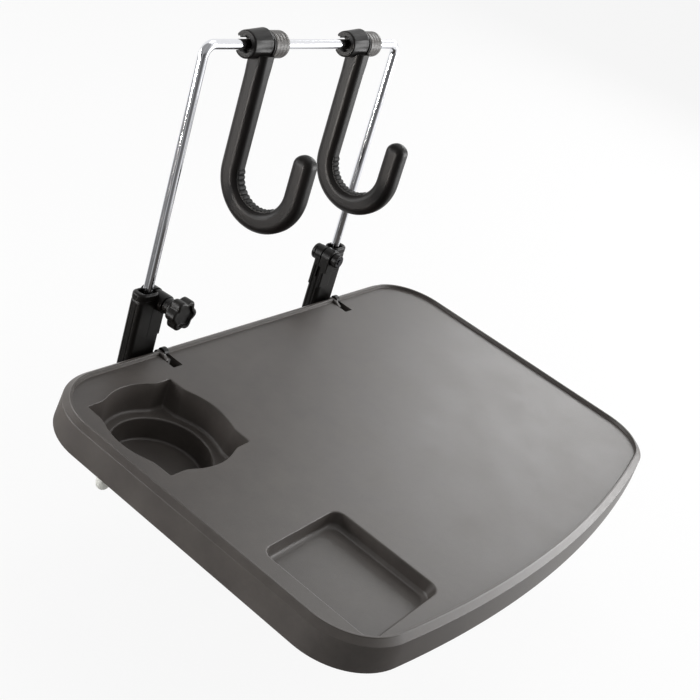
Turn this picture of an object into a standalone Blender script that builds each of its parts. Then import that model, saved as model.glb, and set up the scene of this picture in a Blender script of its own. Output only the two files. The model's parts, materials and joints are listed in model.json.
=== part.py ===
"""Steering wheel tray: a moulded tray that folds on two sleeves, which are clamped to the legs
of a bent wire frame. Two hooks on the frame's bar hang it from a steering wheel's rim.

Metres, +Z up. The driver sits at -Y and the steering wheel is at +Y. The origin lies midway
between the legs, at the lowest points of the hooks' seats, where the rim lies.
"""
import math

import bmesh
import bpy
from mathutils import Matrix, Vector

# Clearances and rounding
GAP = 0.0003
OVERRUN = 0.001
FINE_BEVEL = 0.0006

# Wire frame
WIRE_D = 0.006
LEG_SPACING = 0.193
LEG_LENGTH = 0.2905
BEND_R = 0.007
LEAN = math.radians(4.64)

# Hooks, in the plane of the legs
HOOK_XS = {"left": -0.0499, "right": 0.0481}
HOOK_ARM_BEHIND = -0.0033
HOOK_BOWL_R = 0.0245
HOOK_BOWL_DOWN = 0.0725
HOOK_TIP_UP = 0.0200
HOOK_DEPTH = 0.0135
HOOK_WIDTH = 0.0120
HOOK_CORNER_R = 0.0038
HOOK_TIP_R = 0.0062
BARREL_D = 0.0164
BARREL_BEYOND_ARM = 0.0057
BARREL_LENGTH = 0.0190
HUMP_RISE = 0.0016
HUMP_FROM = -0.0080
HUMP_PEAK = 0.0024
HUMP_END = 0.0034
MOUTH_INNER = 0.0046
MOUTH_OUTER = 0.0105
MOUTH_ANGLE = math.radians(-9)
COLLAR_D = 0.0136
COLLAR_LENGTH = 0.0145
COLLAR_GROOVE = 0.0008
COLLAR_GROOVES = 5
PAD_WIDTH = 0.0066
PAD_THICKNESS = 0.0020
PAD_PROUD = 0.0005
PAD_BUMPS = 13
PAD_START = math.radians(2)
PAD_SWEEP = math.radians(126)

# Tray, with its own zero at the back skirt's foot and the lip's top
TRAY_OFF_CENTRE = 0.0057
TRAY_WIDTH = 0.380
TRAY_DEPTH = 0.259
TRAY_HEIGHT = 0.0196
CORNER_R = 0.042
FRONT_R = 0.846
SKIRT_DRAFT = 0.0013
SHOULDER_DOWN = 0.0030
RIDGE_IN = 0.0048
RIDGE_WIDTH = 0.0010
RIDGE_ROUND = 0.0003
LIP_DRAFT = 0.0005
LIP_HEIGHT = 0.0024
WALL = 0.0024
POCKET_WALL = 0.0020

# Cup pocket and the well below it
POCKET_X = -0.1378
POCKET_Y = -0.0605
POCKET_SIDE = 0.066
POCKET_CORNER_R = 0.0012
POCKET_D = 0.077
POCKET_DEPTH = 0.0186
POCKET_DRAFT = 0.0020
WELL_D = 0.060
WELL_DEPTH = 0.0146
WELL_DRAFT = 0.0010

# Recess for small things
RECESS_X = -0.1376
RECESS_Y = -0.1960
RECESS_WIDTH = 0.066
RECESS_LENGTH = 0.073
RECESS_DEPTH = 0.0088
RECESS_CORNER_R = 0.007
RECESS_DRAFT = 0.0015

# Hinges between the tray and the sleeves
SLOT_XS = {"left": -0.0899, "right": 0.0932}
SLOT_WIDTH = 0.0080
SLOT_LENGTH = 0.0197
SLOT_DEPTH = 0.0152
SLOT_OPEN = 0.0100
SLOT_TROUGH = 0.0112
EAR_WIDTH = 0.0036
EAR_IN = 0.0012
EAR_ROUND = 0.0022
EAR_SLOPE = 0.0019
EAR_TOE = 0.0075
EAR_DEPTH = 0.0100
HINGE_IN = 0.0045
HINGE_DOWN = 0.0022
PIN_D = 0.0028
PIN_HOLD = 0.0060
LUG_R = 0.0032

# Sleeves on the legs: each is wider towards the tray's middle, where its clamp is
HINGE_ALONG_LEG = 0.1898
HINGE_AHEAD_OF_LEG = 0.0109
SLEEVE_NEAR = 0.0136
SLEEVE_FAR = 0.0095
SLEEVE_FRONT = 0.0052
SLEEVE_BACK = 0.0050
SLEEVE_CORNER_R = 0.0028
SLEEVE_UP = 0.0400
SLEEVE_DOWN = 0.0137
RING_HEIGHT = 0.0040
RING_PROUD = 0.0006
MOUTH_WIDTH = 0.0124
MOUTH_BREADTH = 0.0076
MOUTH_DEPTH = 0.0040
FOOT_TOP = 0.0056
FOOT_THICKNESS = 0.0060
SLIT_WIDTH = 0.0012
SLIT_LENGTH = 0.0230

# Clamps beside the legs: a knob on a screw that pinches the slit, its nut in a boss on an arched pad
CLAMP_ASIDE = 0.0084
CLAMP_BELOW_TOP = 0.0067
BOSS_D = 0.0120
BOSS_REACH = {"left": 0.0100, "right": 0.0062}
ARCH_WIDTH = 0.0130
ARCH_HEIGHT = 0.0170
ARCH_PROUD = 0.0026
NUT_BOSS_D = 0.0100
NUT_BOSS_REACH = {"left": 0.0098, "right": 0.0124}
NUT_ACROSS_FLATS = 0.0070
NUT_THICKNESS = 0.0032
SCREW_D = 0.0040
SCREW_BEYOND_NUT = 0.0008
SCREW_IN_KNOB = {"left": 0.0060, "right": 0.0016}
KNOB_R = {"left": 0.0088, "right": 0.0058}
KNOB_LOBE = {"left": 0.0014, "right": 0.0}
KNOB_LOBES = 6
KNOB_THICKNESS = {"left": 0.0078, "right": 0.0028}
KNOB_HUB_D = 0.0118
KNOB_HUB = {"left": 0.0070, "right": 0.0}
KNOB_DISH_D = 0.0110
KNOB_DISH_DEPTH = 0.0018

# Caps on the wire's ends
CAP_D = 0.0094
CAP_LENGTH = 0.0150
CAP_DEPTH = 0.0110

SIDES = {"left": -1, "right": 1}


def reset():
    """Remove the scene's objects and make the collections for the parts and the cutters."""
    for obj in list(bpy.data.objects):
        bpy.data.objects.remove(obj)
    collections = {}
    for key, name in (("parts", "steering_wheel_tray"), ("cutters", "cutters")):
        collections[key] = bpy.data.collections.new(name)
        bpy.context.scene.collection.children.link(collections[key])
    return collections


COLLECTIONS = reset()


def material(name, colour, roughness, metallic=0.0):
    """A plain Principled material."""
    mat = bpy.data.materials.new(name)
    mat.use_nodes = True
    shader = mat.node_tree.nodes["Principled BSDF"]
    shader.inputs["Base Color"].default_value = (*colour, 1.0)
    shader.inputs["Roughness"].default_value = roughness
    shader.inputs["Metallic"].default_value = metallic
    mat.diffuse_color = (*colour, 1.0)
    return mat


def grey_tray_plastic(name):
    return material(name, (0.13, 0.12, 0.115), 0.5)


def black_plastic(name):
    return material(name, (0.012, 0.012, 0.012), 0.35)


def soft_black_rubber(name):
    return material(name, (0.015, 0.014, 0.014), 0.7)


def grey_nylon(name):
    return material(name, (0.30, 0.30, 0.30), 0.4)


def clear_vinyl(name):
    return material(name, (0.62, 0.62, 0.60), 0.3)


def chromed_steel(name):
    return material(name, (0.75, 0.75, 0.77), 0.12, 1.0)


def zinc_plated_steel(name):
    return material(name, (0.45, 0.45, 0.46), 0.35, 1.0)


def blackened_steel(name):
    return material(name, (0.03, 0.03, 0.032), 0.45, 1.0)


def empty(name, location, tilt=0.0, parent=None):
    """An empty that carries pieces: it sits on a joint's axis or at the bar's middle."""
    obj = bpy.data.objects.new(name, None)
    obj.empty_display_size = WIRE_D
    obj.location = location
    obj.rotation_euler = (tilt, 0.0, 0.0)
    obj.parent = parent
    COLLECTIONS["parts"].objects.link(obj)
    return obj


def mesh_object(name, bm, parent=None, mat=None, cutter=False):
    """An object from a bmesh, in the parts' or the cutters' collection."""
    bmesh.ops.recalc_face_normals(bm, faces=bm.faces)
    mesh = bpy.data.meshes.new(name)
    bm.to_mesh(mesh)
    bm.free()
    obj = bpy.data.objects.new(name, mesh)
    obj.parent = parent
    if cutter:
        obj.hide_render = True
        obj.display_type = "WIRE"
        COLLECTIONS["cutters"].objects.link(obj)
    else:
        mesh.shade_smooth()
        mesh.set_sharp_from_angle(angle=math.radians(35))
        mesh.materials.append(mat)
        COLLECTIONS["parts"].objects.link(obj)
    return obj


def loft(rings):
    """A closed body through rings of equally many points, with flat ends."""
    bm = bmesh.new()
    loops = [[bm.verts.new(p) for p in ring] for ring in rings]
    for low, high in zip(loops, loops[1:]):
        for i in range(len(low)):
            j = (i + 1) % len(low)
            bm.faces.new((low[i], low[j], high[j], high[i]))
    bm.faces.new(loops[0])
    bm.faces.new(loops[-1])
    return bm


def prism(outline, start, end):
    """A body from an outline in the YZ plane, drawn out along X from start to end."""
    return loft([[Vector((x, y, z)) for y, z in outline] for x in (start, end)])


def cylinder(radius, length, centre=(0, 0, 0), axis="Z", radius_end=None, segments=32):
    """A cylinder or cone about a point, its second radius at the axis's positive end."""
    turn = {"X": Matrix.Rotation(math.pi / 2, 4, "Y"),
            "Y": Matrix.Rotation(-math.pi / 2, 4, "X"),
            "Z": Matrix.Identity(4)}[axis]
    bm = bmesh.new()
    bmesh.ops.create_cone(bm, cap_ends=True, segments=segments, radius1=radius,
                          radius2=radius if radius_end is None else radius_end, depth=length,
                          matrix=Matrix.Translation(centre) @ turn)
    return bm


def box(low, high):
    """A box between two corners."""
    size = [b - a for a, b in zip(low, high)]
    middle = [(a + b) / 2 for a, b in zip(low, high)]
    bm = bmesh.new()
    bmesh.ops.create_cube(bm, size=1.0, matrix=Matrix.Translation(middle) @ Matrix.Diagonal((*size, 1.0)))
    return bm


def arc(centre, radius, start, end, steps):
    """Points along an arc, both ends included, with angles in radians."""
    points = []
    for i in range(steps + 1):
        angle = start + (end - start) * i / steps
        points.append((centre[0] + radius * math.cos(angle), centre[1] + radius * math.sin(angle)))
    return points


def rounded_rectangle(centre, width, depth, radius, steps=5):
    """A rectangle's outline with round corners, anticlockwise."""
    across = width / 2 - radius
    along = depth / 2 - radius
    points = []
    for quarter, (sx, sy) in enumerate(((1, 1), (-1, 1), (-1, -1), (1, -1))):
        corner = (centre[0] + sx * across, centre[1] + sy * along)
        points += arc(corner, radius, quarter * math.pi / 2, (quarter + 1) * math.pi / 2, steps)
    return points


def combine(obj, bm, operation, name):
    """Cut a body from an object or join it on, with the body kept as a cutter."""
    other = mesh_object(name, bm, parent=obj.parent, cutter=True)
    other.matrix_parent_inverse = obj.matrix_parent_inverse
    other.location = obj.location
    modifier = obj.modifiers.new(name, "BOOLEAN")
    modifier.operation = operation
    modifier.object = other


def cut(obj, bm, name):
    combine(obj, bm, "DIFFERENCE", name)


def join(obj, bm, name):
    combine(obj, bm, "UNION", name)


def tray_outline(inset):
    """The tray's plan, drawn in by an inset: straight back and sides, a bowed front, round corners."""
    half = TRAY_WIDTH / 2
    corner_x = half - CORNER_R
    front_centre = FRONT_R - TRAY_DEPTH
    reach = FRONT_R - CORNER_R
    corner_y = front_centre - math.sqrt(reach ** 2 - corner_x ** 2)
    tangent = math.atan2(corner_y - front_centre, corner_x)
    radius = CORNER_R - inset
    points = arc((corner_x, -CORNER_R), radius, 0, math.pi / 2, 9)
    points += arc((-corner_x, -CORNER_R), radius, math.pi / 2, math.pi, 9)
    points += arc((-corner_x, corner_y), radius, math.pi, math.pi - tangent, 9)
    front = arc((0, front_centre), FRONT_R - inset, math.pi - tangent, 2 * math.pi + tangent, 14)
    points += front[1:-1]
    points += arc((corner_x, corner_y), radius, tangent, 0, 9)
    return points


def level(outline, z):
    """An outline in the XY plane as a ring at a height."""
    return [Vector((x, y, z)) for x, y in outline]


def cup_pocket(wall):
    """The pocket's bodies: a square with short corner rounds, a wider round, and the well below.

    With no wall they are the hollows, open at the top, and with one they are the shell round them.
    """
    top = OVERRUN if not wall else -LIP_HEIGHT - wall / 2
    ledge = -LIP_HEIGHT - POCKET_DEPTH - wall
    floor = -LIP_HEIGHT - POCKET_DEPTH - WELL_DEPTH - wall
    centre = (POCKET_X, POCKET_Y)
    side = POCKET_SIDE + 2 * wall
    foot = side - 2 * POCKET_DRAFT
    square = loft([level(rounded_rectangle(centre, side, side, POCKET_CORNER_R + wall, 3), top),
                   level(rounded_rectangle(centre, foot, foot, POCKET_CORNER_R + wall, 3), ledge)])
    middle = (top + ledge) / 2
    round_r = POCKET_D / 2 + wall
    bulge = cylinder(round_r - POCKET_DRAFT, top - ledge, (*centre, middle), "Z", round_r, 40)
    well_top = ledge + 2 * POCKET_WALL
    well_r = WELL_D / 2 + wall
    well_middle = (*centre, (well_top + floor) / 2)
    well = cylinder(well_r - WELL_DRAFT, well_top - floor, well_middle, "Z", well_r, 40)
    return {"pocket_square": square, "pocket_round": bulge, "pocket_well": well}


def recess(wall):
    """The small recess's hollow, or the shell round it."""
    top = OVERRUN if not wall else -LIP_HEIGHT - wall / 2
    floor = -LIP_HEIGHT - RECESS_DEPTH - wall
    centre = (RECESS_X, RECESS_Y)
    width = RECESS_WIDTH + 2 * wall
    length = RECESS_LENGTH + 2 * wall
    draft = 2 * RECESS_DRAFT
    radius = RECESS_CORNER_R + wall
    return loft([level(rounded_rectangle(centre, width, length, radius), top),
                 level(rounded_rectangle(centre, width - draft, length - draft, radius), floor)])


def slot_left(side):
    """The X of a hinge slot's left edge on the tray: the ear fills that edge of both slots."""
    return SLOT_XS[side] - SLOT_WIDTH / 2


def ear(side):
    """A hinge ear along the slot's left edge: its head holds the pin and its toe runs forward."""
    start = slot_left(side)
    back = -EAR_IN
    toe = -SLOT_LENGTH + EAR_TOE
    foot = -EAR_DEPTH
    outline = arc((back - EAR_ROUND, -EAR_ROUND), EAR_ROUND, 0, math.pi / 2, 4)
    outline += [(-2 * HINGE_IN, 0.0)]
    outline += arc((toe + EAR_ROUND, -EAR_SLOPE - EAR_ROUND), EAR_ROUND, math.pi / 2, math.pi, 4)
    outline += [(toe, foot), (back - EAR_ROUND, foot), (back, -EAR_DEPTH / 2)]
    return prism(outline, start - OVERRUN, start + EAR_WIDTH)


def make_tray(hinge):
    """The moulded tray: a thin plate in a sloping rim, with a skirt, a cup pocket and a recess."""
    outside = loft([level(tray_outline(0.0), -TRAY_HEIGHT),
                    level(tray_outline(SKIRT_DRAFT), -SHOULDER_DOWN),
                    level(tray_outline(RIDGE_IN), -RIDGE_ROUND),
                    level(tray_outline(RIDGE_IN + RIDGE_ROUND), 0.0)])
    tray = mesh_object("tray", outside, hinge, grey_tray_plastic("tray"))
    tray.location = (0.0, HINGE_IN, HINGE_DOWN)
    lip = RIDGE_IN + RIDGE_ROUND + RIDGE_WIDTH
    pan = loft([level(tray_outline(lip + LIP_DRAFT), -LIP_HEIGHT), level(tray_outline(lip), OVERRUN)])
    cut(tray, pan, "pan")
    underside = loft([level(tray_outline(WALL), -TRAY_HEIGHT - OVERRUN),
                      level(tray_outline(WALL + SKIRT_DRAFT), -LIP_HEIGHT - WALL)])
    cut(tray, underside, "underside")
    for side in SIDES:
        start = slot_left(side)
        end = start + SLOT_WIDTH
        trough = box((start - POCKET_WALL, -SLOT_LENGTH - POCKET_WALL, -SLOT_TROUGH),
                     (end + POCKET_WALL, -SLOT_OPEN, -LIP_HEIGHT - WALL / 2))
        join(tray, trough, side + "_trough")
        hollow = box((start, -SLOT_LENGTH, POCKET_WALL - SLOT_TROUGH), (end, OVERRUN, OVERRUN))
        cut(tray, hollow, side + "_trough_hollow")
        cut(tray, box((start, -SLOT_OPEN, -SLOT_DEPTH), (end, OVERRUN, OVERRUN)), side + "_slot")
    for name, body in cup_pocket(POCKET_WALL).items():
        join(tray, body, name + "_shell")
    join(tray, recess(POCKET_WALL), "recess_shell")
    for side in SIDES:
        join(tray, ear(side), side + "_ear")
    for name, body in cup_pocket(0.0).items():
        cut(tray, body, name)
    cut(tray, recess(0.0), "recess")
    for side in SIDES:
        start = slot_left(side) - PIN_HOLD
        end = slot_left(side) + SLOT_WIDTH + PIN_HOLD
        radius = PIN_D / 2 + GAP
        foot = -EAR_DEPTH - OVERRUN
        saddle = arc((-HINGE_IN, -HINGE_DOWN), radius, 0, math.pi, 8)
        saddle += [(-HINGE_IN - radius, foot), (-HINGE_IN + radius, foot)]
        cut(tray, prism(saddle, start, end), side + "_saddle")
    return tray


def make_hinge_pin(side, hinge):
    """A steel pin that lies in the tray's saddles and goes through the sleeve's lug."""
    length = SLOT_WIDTH + 2 * PIN_HOLD - 2 * GAP
    pin = mesh_object(side + "_hinge_pin", cylinder(PIN_D / 2, length, axis="X", segments=16), hinge,
                      zinc_plated_steel("hinge_pin"))
    pin.location = (slot_left(side) + SLOT_WIDTH / 2, 0.0, 0.0)
    return pin


def make_wire_frame(bar):
    """The bent wire: two legs and the bar between them, as one round wire."""
    half = LEG_SPACING / 2
    left = arc((-half + BEND_R, -BEND_R), BEND_R, math.pi, math.pi / 2, 6)
    right = arc((half - BEND_R, -BEND_R), BEND_R, math.pi / 2, 0, 6)
    path = [(-half, -LEG_LENGTH)] + left + right + [(half, -LEG_LENGTH)]
    curve = bpy.data.curves.new("wire_frame", "CURVE")
    curve.dimensions = "3D"
    curve.bevel_depth = WIRE_D / 2
    curve.bevel_resolution = 3
    curve.use_fill_caps = True
    spline = curve.splines.new("POLY")
    spline.points.add(len(path) - 1)
    for point, (x, z) in zip(spline.points, path):
        point.co = (x, 0.0, z, 1.0)
    curve.materials.append(chromed_steel("wire"))
    wire = bpy.data.objects.new("wire_frame", curve)
    wire.parent = bar
    COLLECTIONS["parts"].objects.link(wire)
    return wire


def turned(name, profile, parent, mat, steps, closed=False):
    """A body turned about Z from radii and heights, which run down its outer side."""
    bm = bmesh.new()
    verts = [bm.verts.new((r, 0.0, z)) for r, z in profile]
    follow = verts[1:] + verts[:1] if closed else verts[1:]
    for first, second in zip(verts, follow):
        bm.edges.new((first, second))
    obj = mesh_object(name, bm, parent, mat)
    screw = obj.modifiers.new("turn", "SCREW")
    screw.steps = steps
    screw.render_steps = steps
    screw.use_merge_vertices = True
    screw.merge_threshold = GAP / 10
    return obj


def make_end_cap(side, bar):
    """A vinyl cap pushed over a leg's end, round at the bottom."""
    outer = CAP_D / 2
    bore = WIRE_D / 2 + GAP
    bottom = CAP_DEPTH - CAP_LENGTH
    profile = [(0.0, -GAP), (bore, -GAP), (bore, CAP_DEPTH), (outer - FINE_BEVEL, CAP_DEPTH)]
    profile += [(outer, CAP_DEPTH - FINE_BEVEL)]
    profile += arc((0.0, bottom + outer), outer, 0, -math.pi / 2, 6)[:-1]
    profile += [(0.0, bottom)]
    cap = turned(side + "_end_cap", profile, bar, clear_vinyl("end_cap"), 24)
    cap.location = (SIDES[side] * LEG_SPACING / 2, 0.0, -LEG_LENGTH)
    return cap


def hook_section(width, depth, radius):
    """A hook arm's section: across the hook and in its plane."""
    return rounded_rectangle((0.0, 0.0), width, depth, radius, 3)


def hook_path():
    """The J's middle line in its plane: places, the directions towards its inner side, and shrinkage."""
    stations = [((HOOK_ARM_BEHIND, -BARREL_D / 4), 0.0), ((HOOK_ARM_BEHIND, -HOOK_BOWL_DOWN), 0.0)]
    centre = (HOOK_ARM_BEHIND - HOOK_BOWL_R, -HOOK_BOWL_DOWN)
    steps = 18
    for i in range(1, steps + 1):
        angle = -math.pi * i / steps
        place = (centre[0] + HOOK_BOWL_R * math.cos(angle), centre[1] + HOOK_BOWL_R * math.sin(angle))
        stations.append((place, angle))
    return stations, (centre[0] - HOOK_BOWL_R, centre[1])


def barrel_hump():
    """The hump on the barrel's top: it rises slowly along the barrel and ends in a short step."""
    radius = BARREL_D / 2 - FINE_BEVEL / 2
    rings = []
    for x, rise in ((HUMP_FROM, 0.0), (HUMP_PEAK, HUMP_RISE), (HUMP_END, 0.0)):
        centre = (0.0, rise + (FINE_BEVEL / 2 if rise else 0.0))
        rings.append([Vector((x, y, z)) for y, z in arc(centre, radius, 0, 2 * math.pi, 24)[:-1]])
    return loft(rings)


def make_hook(side, bar_point):
    """A moulded hook: a J with a round tip, under a barrel with a mouth that snaps on the bar."""
    stations, tip_start = hook_path()
    section = hook_section(HOOK_WIDTH, HOOK_DEPTH, HOOK_CORNER_R)
    rings = []
    for (y, z), angle in stations:
        across = (math.cos(angle), math.sin(angle))
        rings.append([Vector((u, y + v * across[0], z + v * across[1])) for u, v in section])
    dome_steps = 5
    for i in range(dome_steps):
        angle = math.pi / 2 * i / dome_steps
        share = math.cos(angle)
        z = tip_start[1] + HOOK_TIP_UP + HOOK_TIP_R * math.sin(angle)
        rings.append([Vector((u * share, tip_start[0] - v * share, z)) for u, v in section])
    hook = mesh_object(side + "_hook", loft(rings), bar_point, black_plastic("hook"))
    start = BARREL_BEYOND_ARM - BARREL_LENGTH
    middle = (start + BARREL_BEYOND_ARM) / 2
    join(hook, cylinder(BARREL_D / 2, BARREL_LENGTH, (middle, 0.0, 0.0), "X", None, 32), side + "_barrel")
    join(hook, barrel_hump(), side + "_barrel_hump")
    bore = WIRE_D / 2 + GAP
    long = BARREL_LENGTH + 2 * OVERRUN
    cut(hook, cylinder(bore, long, (middle, 0.0, 0.0), "X", None, 24), side + "_bar_bore")
    reach = BARREL_D / 2 + OVERRUN
    mouth = [(0.0, -MOUTH_INNER / 2), (bore, -MOUTH_INNER / 2), (reach, -MOUTH_OUTER / 2),
             (reach, MOUTH_OUTER / 2), (bore, MOUTH_INNER / 2), (0.0, MOUTH_INNER / 2)]
    turn = Matrix.Rotation(MOUTH_ANGLE, 2)
    mouth = [tuple(turn @ Vector(p)) for p in mouth]
    cut(hook, prism(mouth, start - OVERRUN, BARREL_BEYOND_ARM + OVERRUN), side + "_bar_mouth")
    seat_r = HOOK_BOWL_R - HOOK_DEPTH / 2
    groove = sector(seat_r - OVERRUN, seat_r + PAD_THICKNESS - PAD_PROUD + GAP,
                    PAD_START - GAP / seat_r, PAD_START + PAD_SWEEP + GAP / seat_r)
    cut(hook, prism(groove, -PAD_WIDTH / 2 - GAP, PAD_WIDTH / 2 + GAP), side + "_pad_groove")
    return hook


def sector(inner_r, outer_r, start, end, steps=14):
    """A ring's sector about the hook's bowl, its angles running from the arm round the bottom."""
    centre = (HOOK_ARM_BEHIND - HOOK_BOWL_R, -HOOK_BOWL_DOWN)
    return arc(centre, outer_r, -start, -end, steps) + arc(centre, inner_r, -end, -start, steps)


def make_grip_pad(side, bar_point):
    """A rubber strip with round bumps, set in the inner side of the hook's bowl."""
    centre = (HOOK_ARM_BEHIND - HOOK_BOWL_R, -HOOK_BOWL_DOWN)
    outer_r = HOOK_BOWL_R - HOOK_DEPTH / 2 + PAD_THICKNESS - PAD_PROUD
    crest_r = outer_r - PAD_THICKNESS
    steps = 3 * PAD_BUMPS
    outline = arc(centre, outer_r, -PAD_START, -PAD_START - PAD_SWEEP, PAD_BUMPS)
    for i in range(steps + 1):
        share = 1.0 - i / steps
        angle = -PAD_START - PAD_SWEEP * share
        radius = crest_r + PAD_PROUD * (1.0 - abs(math.sin(math.pi * PAD_BUMPS * share)))
        outline.append((centre[0] + radius * math.cos(angle), centre[1] + radius * math.sin(angle)))
    return mesh_object(side + "_grip_pad", prism(outline, -PAD_WIDTH / 2, PAD_WIDTH / 2), bar_point,
                       soft_black_rubber("grip_pad"))


def make_hook_collar(side, bar_point):
    """A grooved ring on the bar that keeps the hook at its place."""
    bore = WIRE_D / 2 + GAP
    outer = COLLAR_D / 2
    pitch = COLLAR_LENGTH / (COLLAR_GROOVES + 1)
    profile = [(bore, COLLAR_LENGTH), (outer - FINE_BEVEL, COLLAR_LENGTH)]
    profile += [(outer, COLLAR_LENGTH - FINE_BEVEL)]
    for i in range(COLLAR_GROOVES):
        z = COLLAR_LENGTH - (i + 1) * pitch
        profile += [(outer, z + COLLAR_GROOVE / 2), (outer - COLLAR_GROOVE / 2, z),
                    (outer, z - COLLAR_GROOVE / 2)]
    profile += [(outer, FINE_BEVEL), (outer - FINE_BEVEL, 0.0), (bore, 0.0)]
    collar = turned(side + "_hook_collar", profile, bar_point, grey_nylon("hook_collar"), 28, closed=True)
    collar.location = (BARREL_BEYOND_ARM + GAP, 0.0, 0.0)
    collar.rotation_euler = (0.0, math.pi / 2, 0.0)
    return collar


def lug_places(side):
    """The X of a sleeve's lug from the sleeve's own leg, and the lug's width."""
    leg = SIDES[side] * LEG_SPACING / 2
    start = TRAY_OFF_CENTRE + slot_left(side) + EAR_WIDTH + GAP - leg
    return start, start + SLOT_WIDTH - EAR_WIDTH - 2 * GAP


def knob_way(side):
    """Which way along Y a sleeve's knob faces: the left one the driver, the right one the wheel."""
    return SIDES[side]


def nut_face(side):
    """How far the sleeve's face on the nut's side lies from the leg's middle."""
    return SLEEVE_BACK if side == "left" else SLEEVE_FRONT


def clamp_place(side):
    """The clamp screw's X and Z from a sleeve's own zero, which is its leg at the hinge's height."""
    return -SIDES[side] * CLAMP_ASIDE, SLEEVE_UP - CLAMP_BELOW_TOP


def sleeve_plan(side, proud=0.0):
    """A sleeve's section round its leg, wider on the clamp's side."""
    width = SLEEVE_NEAR + SLEEVE_FAR + 2 * proud
    depth = SLEEVE_FRONT + SLEEVE_BACK + 2 * proud
    centre = (-SIDES[side] * (SLEEVE_NEAR - SLEEVE_FAR) / 2, (SLEEVE_BACK - SLEEVE_FRONT) / 2)
    return rounded_rectangle(centre, width, depth, SLEEVE_CORNER_R + proud, 4)


def arched_pad(side):
    """The raised pad on the nut's side, with a round head and a straight foot."""
    x, z = clamp_place(side)
    half = ARCH_WIDTH / 2
    foot = z + half - ARCH_HEIGHT
    outline = arc((x, z), half, 0, math.pi, 12) + [(x - half, foot), (x + half, foot)]
    way = -knob_way(side)
    start = nut_face(side) - OVERRUN
    end = nut_face(side) + ARCH_PROUD
    return loft([[Vector((u, way * y, v)) for u, v in outline] for y in (start, end)])


def hinge_lug(side):
    """The lug that reaches forward from the sleeve's foot, through the tray's slot, to the pin."""
    start, end = lug_places(side)
    inside = -SLEEVE_FRONT + OVERRUN
    outline = arc((-HINGE_AHEAD_OF_LEG, 0.0), LUG_R, math.pi / 4, 5 * math.pi / 4, 12)
    outline += [(-SLEEVE_FRONT, -SLEEVE_DOWN + OVERRUN), (inside, -SLEEVE_DOWN + OVERRUN)]
    outline += [(inside, -FOOT_TOP - OVERRUN), (-SLEEVE_FRONT, -FOOT_TOP)]
    return prism(outline, start, end)


def make_sleeve(side, leg_point):
    """A moulded sleeve on a leg: a ringed top, a slit with its clamp, and a foot with the lug."""
    ring_foot = SLEEVE_UP - RING_HEIGHT
    body = loft([level(sleeve_plan(side), -SLEEVE_DOWN),
                 level(sleeve_plan(side), ring_foot - RING_PROUD),
                 level(sleeve_plan(side, RING_PROUD), ring_foot),
                 level(sleeve_plan(side, RING_PROUD), SLEEVE_UP - RING_PROUD),
                 level(sleeve_plan(side), SLEEVE_UP)])
    sleeve = mesh_object(side + "_sleeve", body, leg_point, black_plastic("sleeve"))
    x, z = clamp_place(side)
    way = knob_way(side)
    reach = BOSS_REACH[side]
    join(sleeve, cylinder(BOSS_D / 2, reach, (x, way * reach / 2, z), "Y", None, 28), side + "_boss")
    join(sleeve, arched_pad(side), side + "_arched_pad")
    nut_reach = NUT_BOSS_REACH[side]
    nut_boss = cylinder(NUT_BOSS_D / 2, nut_reach, (x, -way * nut_reach / 2, z), "Y", None, 28)
    join(sleeve, nut_boss, side + "_nut_boss")
    lug_start, lug_end = lug_places(side)
    foot = box((min(lug_start, 0.0), -SLEEVE_FRONT, -SLEEVE_DOWN),
               (max(lug_end, 0.0), FOOT_THICKNESS - SLEEVE_FRONT, -FOOT_TOP))
    join(sleeve, foot, side + "_foot")
    join(sleeve, hinge_lug(side), side + "_lug")
    length = SLEEVE_UP + SLEEVE_DOWN + 2 * OVERRUN
    middle = (SLEEVE_UP - SLEEVE_DOWN) / 2
    cut(sleeve, cylinder(WIRE_D / 2 + GAP, length, (0.0, 0.0, middle), "Z", None, 24), side + "_leg_bore")
    mouth = rounded_rectangle((0.0, 0.0), MOUTH_WIDTH, MOUTH_BREADTH, MOUTH_BREADTH / 2 - FINE_BEVEL, 5)
    cut(sleeve, loft([level(mouth, SLEEVE_UP - MOUTH_DEPTH), level(mouth, SLEEVE_UP + OVERRUN)]),
        side + "_top_mouth")
    slit_end = -SIDES[side] * (SLEEVE_NEAR + RING_PROUD + OVERRUN)
    slit = box((min(0.0, slit_end), -SLIT_WIDTH / 2, SLEEVE_UP - SLIT_LENGTH),
               (max(0.0, slit_end), SLIT_WIDTH / 2, SLEEVE_UP + OVERRUN))
    cut(sleeve, slit, side + "_slit")
    hole_x = (lug_start + lug_end) / 2
    hole = cylinder(PIN_D / 2 + GAP, lug_end - lug_start + 2 * OVERRUN, (hole_x, -HINGE_AHEAD_OF_LEG, 0.0),
                    "X", None, 16)
    cut(sleeve, hole, side + "_lug_hole")
    hole_length = reach + nut_reach + 2 * OVERRUN
    hole_middle = (x, way * (reach - nut_reach) / 2, z)
    cut(sleeve, cylinder(SCREW_D / 2 + GAP, hole_length, hole_middle, "Y", None, 20), side + "_screw_hole")
    seat_depth = NUT_THICKNESS + GAP + OVERRUN
    seat_middle = (x, -way * (nut_reach - NUT_THICKNESS - GAP + seat_depth / 2), z)
    seat = cylinder(NUT_ACROSS_FLATS / math.sqrt(3) + GAP, seat_depth, seat_middle, "Y", None, 6)
    cut(sleeve, seat, side + "_nut_seat")
    return sleeve


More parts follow.
